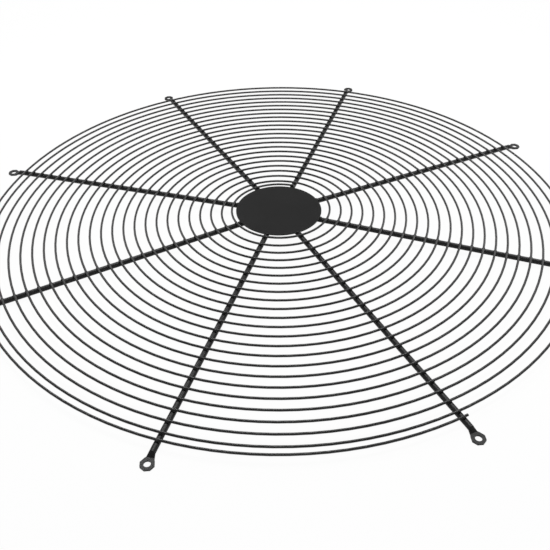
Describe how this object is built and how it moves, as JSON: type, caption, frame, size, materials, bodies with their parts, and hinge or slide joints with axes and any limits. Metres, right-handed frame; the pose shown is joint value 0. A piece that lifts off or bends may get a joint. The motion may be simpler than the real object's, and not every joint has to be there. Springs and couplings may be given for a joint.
{
  "type": "fan guard",
  "caption": "Round wire fan guard: a spiral wire welded on radial rods with pierced eyelets, closed by a flat disc at the centre.",
  "frame": {"origin": "centre of the hole circle, level with the undersides of the eyelets", "axes": "+Z along the guard's axis, from the fan outwards; +X and +Y each along a radial rod"},
  "size_m": [0.8768, 0.8768, 0.0189],
  "materials": {
    "black_powder_coat": "semi-matt black powder coat on steel"
  },
  "bodies": {
    "root": {"spiral_wire": "black_powder_coat", "centre_disc": "black_powder_coat", "radial_rod_1": "black_powder_coat", "radial_rod_2": "black_powder_coat", "radial_rod_3": "black_powder_coat", "radial_rod_4": "black_powder_coat", "radial_rod_5": "black_powder_coat", "radial_rod_6": "black_powder_coat", "radial_rod_7": "black_powder_coat", "radial_rod_8": "black_powder_coat"}
  },
  "joints": []
}
